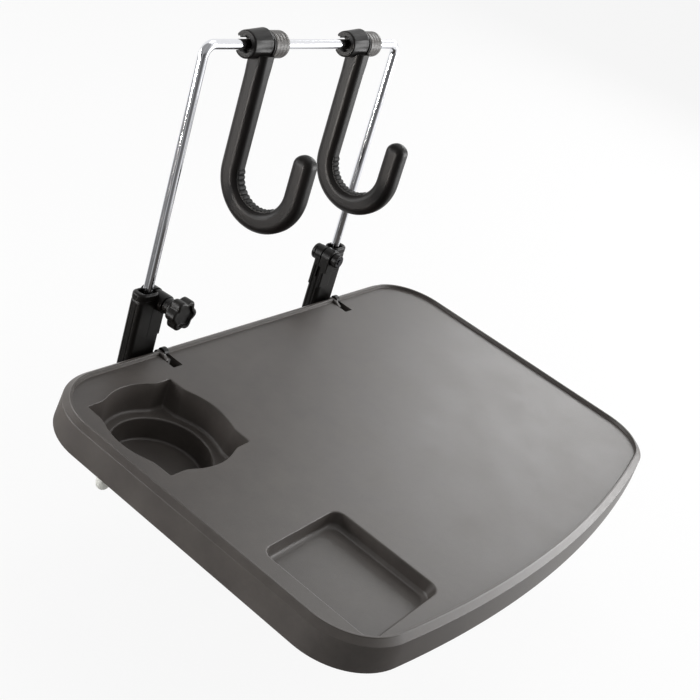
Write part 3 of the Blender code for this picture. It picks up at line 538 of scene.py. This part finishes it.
# The grip pads: strips of black rubber in the hooks' bowls, each with thirteen round bumps across it.
# The rubber is matt, so that the bumps show by their shade and not by highlights.
grip_rubber = moulded_plastic("black_moulded_rubber", "#161514", "#1c1b1a", 0.62, 0.3, 0.00003, 0.3)
bumps, pad_start, pad_sweep = 13, 2.0, 126.0
share = np.linspace(0, 1, bumps * 12 + 1)
edge_in = np.array([0.0, 0.0, 0.55, 0.9, 1.0, 1.0, 1.0, 0.9, 0.55, 0.0, 0.0])
edge_x = np.array([-3.3, -3.3, -3.2, -2.8, -2.2, 0.0, 2.2, 2.8, 3.2, 3.3, 3.3]) / 1000
swell = np.abs(np.sin(math.pi * bumps * share)) ** 0.6
crest = seat + 0.0004 - (0.0003 + 0.0011 * swell)[:, None] * edge_in[None]
crest[:, 0] = crest[:, -1] = seat + 0.0015
angle = -np.radians(pad_start + pad_sweep * share)[:, None]
pad_rings = np.stack([edge_x[None] + 0 * crest, hook_behind - bowl + crest * np.cos(angle),
                      -bowl_down + crest * np.sin(angle)], -1)
for side in ("left", "right"):
    pad = solid(side + "_rubber_pad", pad_rings)
    dress(pad, on_frame(hook_x[side]), grip_rubber, side + "_hanger", "grip_rubber", side + "_grip_pad")

# The collars: rings of natural grey nylon on the bar beside the hooks, turned with three grooves.
collar_start, collar_length, collar_radius = 0.0060, 0.0145, 0.0080
groove_count, groove_depth, groove_points, before_grooves = 3, 0.00016, 46, 12
outline = rounded([(bar_hole, 0.0, 0), (collar_radius, 0.0, 0.0005), (collar_radius, collar_length, 0.0036),
                   (bar_hole, collar_length, 0)], 10)
steps = np.linspace(0.0015, collar_length - 0.0040, groove_points)
rings_cut = -groove_depth * np.sin(np.linspace(0, groove_count * math.pi, groove_points)) ** 4
collar_profile = np.concatenate([outline[:before_grooves], np.stack([collar_radius + rings_cut, steps], 1),
                                 outline[before_grooves:]])


def turned(profile, steps=72):
    """A profile (radius, along) turned about X: (along, radius * cos, radius * sin)."""
    angle = np.linspace(0, 2 * math.pi, steps, endpoint=False)[:, None]
    radius, along = profile[None, :, 0], profile[None, :, 1]
    return np.stack([along + 0 * angle, radius * np.cos(angle), radius * np.sin(angle)], -1)


# Natural nylon: milky grey, satin, and light shines a little way into it.
nylon = finish("natural_grey_nylon", {
    "Base Color": linear("#55524f"), "Roughness": 0.42, "Subsurface Weight": 0.35,
    "Subsurface Scale": 0.002, "Subsurface Radius": (1.0, 1.0, 1.0)})[0]
for side in ("left", "right"):
    collar = skin(side + "_ringed_collar", [(turned(collar_profile), True, True)])
    dress(collar, on_frame(hook_x[side] + collar_start), nylon, side + "_collar", "collar_nylon",
          side + "_hook_collar")

# The end caps: milky vinyl dipped over the legs' cut ends, with round bottoms. It is smooth and a
# little glossy, and light shines into it.
cap_radius, cap_bore, bottom = 0.0047, 0.0033, np.linspace(0, 1.5, 10)
cap_profile = np.concatenate([
    [(0.0, -0.0003), (cap_bore, -0.0003), (cap_bore, 0.0110), (0.0043, 0.0110), (0.0046, 0.0108),
     (cap_radius, 0.0104)],
    np.stack([cap_radius * np.cos(bottom), 0.0007 - cap_radius * np.sin(bottom)], 1),
    [(0.0, -0.0040)]])
vinyl = finish("milky_dipped_vinyl", {
    "Base Color": linear("#cfcfc9"), "Roughness": 0.3, "Subsurface Weight": 0.5,
    "Subsurface Scale": 0.002, "Subsurface Radius": (1.0, 1.0, 1.0)})[0]
for side, x in (("left", -half), ("right", half)):
    cap = skin(side + "_vinyl_cap", [(turned(cap_profile, 48)[..., [1, 2, 0]], True, False)])
    dress(cap, on_frame(x, -leg_length), vinyl, "frame", "cap_vinyl", side + "_end_cap")

# The sleeves: two black nylon mouldings that slide on the legs. Each has an oval collar round its
# leg, a split clamp block beside it with a boss and an arched pad for the screw, and a hinge lug.
sleeve_top, sleeve_foot, along_leg = 0.0400, -0.0137, 0.1898
screw_aside, screw_up, arch_half, arch_down = 0.0084, 0.0333, 0.0065, 0.0105
leg_hole, screw_hole, pin_hole, nut_pocket, lug_gap = 0.0033, 0.0023, 0.0017, 0.00434, 0.0003
body_plan = rounded([(0.0136, 0.0376, 0.0056), (-0.0095, 0.0376, 0.0042), (-0.0095, sleeve_foot, 0.0042),
                     (0.0136, sleeve_foot, 0.0042)], 10, closed=True)
body_ends = rounded([(-0.0040, -0.0052, 0), (0.0, -0.0052, 0.0028), (0.0, 0.0050, 0.0036),
                     (-0.0040, 0.0050, 0)], 8)
ring_plan = round_rectangle((-0.0099, -0.0056), (0.0068, 0.0054), 0.0050, 12)
ring_ends = rounded([(-0.0016, 0.0352, 0), (-0.0003, 0.0352, 0.0002), (0.0, 0.0358, 0.0006),
                     (0.0, sleeve_top, 0.0016), (-0.0030, sleeve_top, 0)], 6)
arch = np.concatenate([arc_points((screw_aside, screw_up), arch_half, 0, 180, 30),
                       [(screw_aside - arch_half, screw_up - arch_down),
                        (screw_aside + arch_half, screw_up - arch_down)]])
lobe = np.concatenate([arc_points((screw_aside - 0.0008, screw_up - 0.0004), 0.0060, 0, 180, 30),
                       [(screw_aside - 0.0068, 0.0100), (screw_aside + 0.0052, 0.0100)]])


def disk(radius, steps=48):
    """A round outline about the screw's place."""
    return arc_points((screw_aside, screw_up), radius, 0, 360, steps)[:-1]


# Black nylon with a fine eroded grain: a little smoother than the hooks, so its edges shine more.
sleeve_plastic = moulded_plastic("black_moulded_nylon", "#0d0c0b", "#12100e", 0.36, 0.5, 0.00005, 0.2)
for side, sign, boss, nut_boss, nut_face in (("left", 1, 0.0100, 0.0098, 0.0050),
                                             ("right", -1, 0.0062, 0.0124, 0.0052)):
    at_leg = on_frame(-sign * half, -along_leg, sign)
    sleeve = solid("moulded_" + side + "_sleeve", extruded(body_plan, body_ends, [0, 2, 1]))
    ends = [(lobe, [(-0.0012, -0.0053, 0), (0, -0.0053, 0.0011), (0, 0.0051, 0.0011), (-0.0012, 0.0051, 0)]),
            (disk(0.0060), [(0, 0, 0), (0, -boss, 0.0006), (-0.002, -boss, 0)]),
            (arch, [(0, 0.0001, 0), (0, nut_face + 0.0026, 0.0008), (-0.002, nut_face + 0.0026, 0)]),
            (disk(0.0050), [(0, 0.0002, 0), (0, nut_boss, 0.0006), (-0.0012, nut_boss, 0)])]
    bodies = [extruded(outline, rounded(profile), [0, 2, 1]) for outline, profile in ends]
    slot_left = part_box(side + "_hinge_pin")[0].x + slot_from_pin
    lug_start = sign * (slot_left + ear_width + lug_gap + sign * half)
    lug_end = lug_start + sign * (slot_width - ear_width - 2 * lug_gap)
    low, high = sorted((lug_start, lug_end))
    front = np.array((-0.0109, 0.0))
    lug = np.concatenate([arc_points(front, 0.0032, 45, 225, 24),
                          [(-0.0052, sleeve_foot + 0.001), (-0.0042, sleeve_foot + 0.001),
                           (-0.0042, -0.0066), (-0.0052, -0.0056)]])
    lug_ends = rounded([(-0.0006, low, 0), (0, low, 0.0003), (0, high, 0.0003), (-0.0006, high, 0)])
    foot_low, foot_high = min(low - 0.0002, -0.0012), max(high + 0.0002, 0.0012)
    foot = np.array([[(foot_low, -0.0049, z), (foot_high, -0.0049, z), (foot_high, 0.0008, z),
                      (foot_low, 0.0008, z)] for z in (sleeve_foot + 0.0003, -0.0053)])
    bodies += [extruded(ring_plan, ring_ends, [0, 1, 2]), foot * (1, sign, 1),
               extruded(lug, lug_ends, [2, 0, 1]) * (1, sign, 1)]
    carve(sleeve, [solid("body", rings) for rings in bodies], "UNION")
    cavity = extruded(round_rectangle((-0.0062, -0.0038), (0.0062, 0.0038), 0.0032),
                      rounded([(0.0, 0.0360, 0), (0.0, 0.0394, 0.0006), (0.0012, 0.0412, 0)]), [0, 1, 2])
    slit = np.array([[(0.0, -0.0006, z), (0.016, -0.0006, z), (0.016, 0.0006, z), (0.0, 0.0006, z)]
                     for z in (sleeve_top - 0.023, sleeve_top + 0.001)])
    hexagon = arc_points((screw_aside, screw_up), nut_pocket, 0, 360, 6)[:-1]
    hollows = [rod(radius, (x, y, sleeve_foot + 0.004), (x, y, height), "Z", 24)
               for x, radius, height in ((-0.0099, 0.0007, 0.0330), (0.0142, 0.0012, 0.0260))
               for y in (-0.0019, 0.0017)]
    hollows += [cavity, slit,
                rod(leg_hole, (0, 0, sleeve_foot - 0.001), (0, 0, sleeve_top + 0.001), "Z"),
                rod(screw_hole, (screw_aside, -0.0140, screw_up), (screw_aside, 0.0140, screw_up), "Y"),
                extruded(hexagon, np.array([(0, nut_boss - 0.0035), (0, nut_boss + 0.001)]), [0, 2, 1]),
                rod(pin_hole, (low - 0.001, front[0] * sign, 0), (high + 0.001, front[0] * sign, 0), "X")]
    carve(sleeve, [solid("hollow", rings) for rings in hollows], "DIFFERENCE")
    dress(sleeve, at_leg, sleeve_plastic, side + "_bracket", "sleeve_plastic", side + "_sleeve")

# The knobs: black moulded grips on the clamps' screws. The left one is a star with six lobes and a
# dished face, on a hub. The right one is a low round button behind its sleeve. Their nylon is satin,
# a little lighter than the sleeves'.
star_round, lobe_height, lobe_count, dish_share = 0.0083, 0.0019, 6, 0.72
knob_plastic = moulded_plastic("black_satin_nylon", "#0f0d0c", "#151310", 0.38, 0.5, 0.00004, 0.25)
angle = np.linspace(0, 2 * math.pi, 240, endpoint=False)
lobes = star_round + lobe_height * (0.5 + 0.5 * np.cos(lobe_count * angle)) ** 0.7
star = lobes[:, None] * np.stack([np.cos(angle), np.sin(angle)], 1)
screw_spot = np.array([screw_aside, screw_up])
star_ends = rounded([(-0.0016, -0.0173, 0), (0, -0.0173, 0.0014), (0, -0.0251, 0.0014),
                     (-0.0016, -0.0251, 0)], 6)
hub_ends = rounded([(-0.002, -0.0103, 0), (-0.0007, -0.0103, 0.0003), (-0.0007, -0.0138, 0.0006),
                    (0, -0.0144, 0.0006), (0, -0.0160, 0.0006), (-0.0007, -0.0166, 0.0006),
                    (-0.0007, -0.0180, 0), (-0.002, -0.0180, 0)])
dish_ends = rounded([(0.0, -0.0262, 0), (0.0, -0.0244, 0.0004), (-0.0004, -0.0235, 0.0003),
                     (-0.0010, -0.0235, 0)])
button_ends = rounded([(-0.002, -0.0065, 0), (0, -0.0065, 0.0006), (0, -0.0093, 0.0010),
                       (-0.002, -0.0093, 0)])
knob = solid("moulded_left_knob", extruded(screw_spot + star, star_ends, [0, 2, 1]))
carve(knob, [solid("hub", extruded(disk(0.0059), hub_ends, [0, 2, 1]))], "UNION")
button = solid("moulded_right_knob", extruded(disk(0.0058), button_ends, [0, 2, 1]))
hollows = {"left": [extruded(screw_spot + dish_share * star, dish_ends, [0, 2, 1])], "right": []}
for side, piece, sign, start, depth in (("left", knob, 1, 0.0103, 0.0063),
                                        ("right", button, -1, 0.0065, 0.0019)):
    hollows[side].append(rod(screw_hole, (screw_aside, -start - depth, screw_up),
                             (screw_aside, 0.001 - start, screw_up), "Y"))
    carve(piece, [solid("hollow", rings) for rings in hollows[side]], "DIFFERENCE")
    dress(piece, on_frame(-sign * half, -along_leg, sign), knob_plastic, side + "_clamp", "knob_plastic",
          side + "_knob")

# The small steel pieces keep their shapes from the model: zinc-plated hinge pins, and screws and
# nuts in blackened steel. Both give broad soft glints, pale on the zinc and dark on the oxide.
zinc = finish("zinc_plated_steel",
              {"Base Color": linear("#b4b4b2"), "Metallic": 1.0, "Roughness": 0.32})[0]
black_oxide = finish("black_oxide_steel",
                     {"Base Color": linear("#3a3a3c"), "Metallic": 1.0, "Roughness": 0.4})[0]
for side in ("left", "right"):
    for node, metal in (("hinge_pin", zinc), ("clamp_screw", black_oxide), ("clamp_nut", black_oxide)):
        for slot in bpy.data.objects[side + "_" + node].material_slots:
            slot.material = metal

# The stage: a plain pale floor under white light, soft lamps above, to the right and at the left
# behind, and a narrow one on the hooks. In reflections the floor and the world show painted light
# and shade: white behind and to the right, painted dark to the left but for a painted bright strip,
# and at least a third white above.
floor_height, floor_reach, floor_glow, ambient = -0.235, 6.0, 0.88, 0.32
floor_grid = np.array([[(x, y, floor_height) for y in (-floor_reach, floor_reach)]
                       for x in (-floor_reach, floor_reach)])
floor = skin("studio_floor", [(floor_grid, False, False)])
# Painted reflection brightness by direction round the object, in degrees: painted dark to the left with a
# painted bright strip, white behind and to the right.
painted_reflection_brightness = [(-180, 0.1), (-166, 0.1), (-161, 0.5), (-151, 0.5), (-144, 0.1), (-100, 0.1),
                   (-80, 0.6), (-60, 1.0), (100, 1.0), (116, 0.1), (180, 0.1)]


def painted_reflection_ramp(tree, coordinates, ceiling):
    """Which rays see the painted reflections, and how white they are: 1 to the camera, and else a ramp.

    The ramp paints light and shade by direction round the object, seen only in reflections, and
    whatever rises well above the ceiling value is at least a third white all round.
    at least a third white all round.
    """
    light_path = add(tree, "LightPath", {})
    place = add(tree, "TexCoord", {})
    parts = add(tree, "SeparateXYZ", {}, {"Vector": (place, coordinates)})
    turn = add(tree, "Math", {"operation": "ARCTAN2"}, {0: (parts, "Y"), 1: (parts, "X")})
    share = add(tree, "MapRange", {"From Min": -math.pi, "From Max": math.pi}, {"Value": (turn, "Value")})
    ramp = add(tree, "ValToRGB", {}, {"Fac": (share, "Result")})
    stops = ramp.color_ramp.elements
    for degrees, white in painted_reflection_brightness[1:-1]:
        stops.new((degrees + 180) / 360).color = (white, white, white, 1.0)
    for stop, (degrees, white) in zip((stops[0], stops[-1]), (painted_reflection_brightness[0], painted_reflection_brightness[-1])):
        stop.color = (white, white, white, 1.0)
    above = add(tree, "MapRange", {"From Min": ceiling, "From Max": ceiling + 0.3, "To Max": 0.35},
                {"Value": (parts, "Z")})
    mirrored = add(tree, "Math", {"operation": "MAXIMUM"}, {0: (ramp, "Color"), 1: (above, "Result")})
    white = add(tree, "Math", {"operation": "MAXIMUM"},
                {0: (light_path, "Is Camera Ray"), 1: (mirrored, "Value")})
    seen = add(tree, "Math", {"operation": "MAXIMUM"},
               {0: (light_path, "Is Camera Ray"), 1: (light_path, "Is Glossy Ray")})
    seen = add(tree, "Math", {"operation": "MAXIMUM"},
               {0: (seen, "Value"), 1: (light_path, "Is Transmission Ray")})
    return seen, white


# The floor is white to the camera and keeps the object's shadow; in reflections its glow is the painted
# light and shade of the ramp.
paper, tree, shader = finish("white_studio_paper", {"Base Color": linear("#f4f4f4"), "Roughness": 0.9})
seen, white = painted_reflection_ramp(tree, "Object", 1.0)
glow = add(tree, "Emission", {"Color": (1.0, 1.0, 1.0, 1.0)}, {"Strength": (white, "Value")})
share = add(tree, "Math", {"operation": "MULTIPLY", 1: floor_glow}, {0: (seen, "Value")})
mixed = add(tree, "MixShader", {}, {0: (share, "Value"), 1: (shader, "BSDF"), 2: (glow, "Emission")})
tree.links.new(mixed.outputs["Shader"], tree.nodes["Material Output"].inputs["Surface"])
floor.data.materials.append(paper)

world = bpy.data.worlds.new("studio")
world.use_nodes = True
bpy.context.scene.world = world
tree = world.node_tree
# The world is white to the camera and lights at the ambient level; in reflections it shows the same painted
# light and shade.
seen, white = painted_reflection_ramp(tree, "Generated", 0.05)
strength = add(tree, "Mix", {"data_type": "FLOAT", "A": ambient},
               {"Factor": (seen, "Value"), "B": (white, "Value")})
tree.links.new(strength.outputs["Result"], tree.nodes["Background"].inputs["Strength"])
tree.nodes["Background"].inputs["Color"].default_value = (1.0, 1.0, 1.0, 1.0)


def softbox(name, place, target, width, height, watts):
    """A rectangular lamp at a place, turned towards a target."""
    lamp = bpy.data.lights.new(name, "AREA")
    lamp.shape = "RECTANGLE"
    lamp.size = width
    lamp.size_y = height
    lamp.energy = watts
    holder = bpy.data.objects.new(name, lamp)
    holder.location = place
    holder.rotation_euler = (Vector(target) - Vector(place)).to_track_quat("-Z", "Y").to_euler()
    bpy.context.scene.collection.objects.link(holder)


middle = (0.0, -0.1, -0.08)
softbox("top_box", (0.3, 0.1, 1.3), middle, 0.9, 0.9, 2.5)
softbox("right_box", (1.15, -1.05, 0.12), middle, 1.0, 0.6, 17.0)
softbox("key_box", (0.75, -0.95, 0.8), middle, 0.35, 0.35, 3.0)
softbox("back_box", (1.75, 0.24, 0.75), middle, 0.7, 0.7, 9.0)
softbox("rim_box", (-0.75, 1.05, 0.1), middle, 0.5, 0.7, 8.0)
softbox("left_box", (-0.95, 0.55, -0.05), (0.0, 0.0, 0.02), 0.4, 0.6, 6.0)
lamp = bpy.data.lights.new("hook_spot", "SPOT")
lamp.energy, lamp.spot_size, lamp.spot_blend, lamp.shadow_soft_size = 36.0, math.radians(11.5), 0.6, 0.08
lamp.color = (1.0, 0.94, 0.88)
holder = bpy.data.objects.new("hook_spot", lamp)
holder.location = (-1.0, 0.24, -0.17)
holder.rotation_euler = (Vector((0.0, 0.02, 0.035)) - holder.location).to_track_quat("-Z", "Y").to_euler()
bpy.context.scene.collection.objects.link(holder)

# The camera: it stands to the left in front, above the tray, and is rolled as the photograph's is.
# Its place and its focal length in pixels were fitted to the photograph.
focal_pixels, photo_pixels = 1172.5, 700
camera_place = np.array([-0.59663, -0.37080, 0.36585]) + tray_zero
look = np.array([0.79875, 0.39140, -0.45694])
look /= np.linalg.norm(look)
right = np.array([0.56397, -0.75164, 0.34202])
right -= look * (right @ look)
right /= np.linalg.norm(right)
up = np.cross(right, look)
camera = bpy.data.cameras.new("camera")
camera.sensor_width = 36.0
camera.lens = focal_pixels * camera.sensor_width / photo_pixels
holder = bpy.data.objects.new("camera", camera)
bpy.context.scene.collection.objects.link(holder)
holder.matrix_world = Matrix([[*row, place] for row, place in
                              zip(np.stack([right, up, -look], 1), camera_place)] + [[0, 0, 0, 1]])
bpy.context.scene.camera = holder
bpy.context.scene.view_settings.view_transform = "Standard"
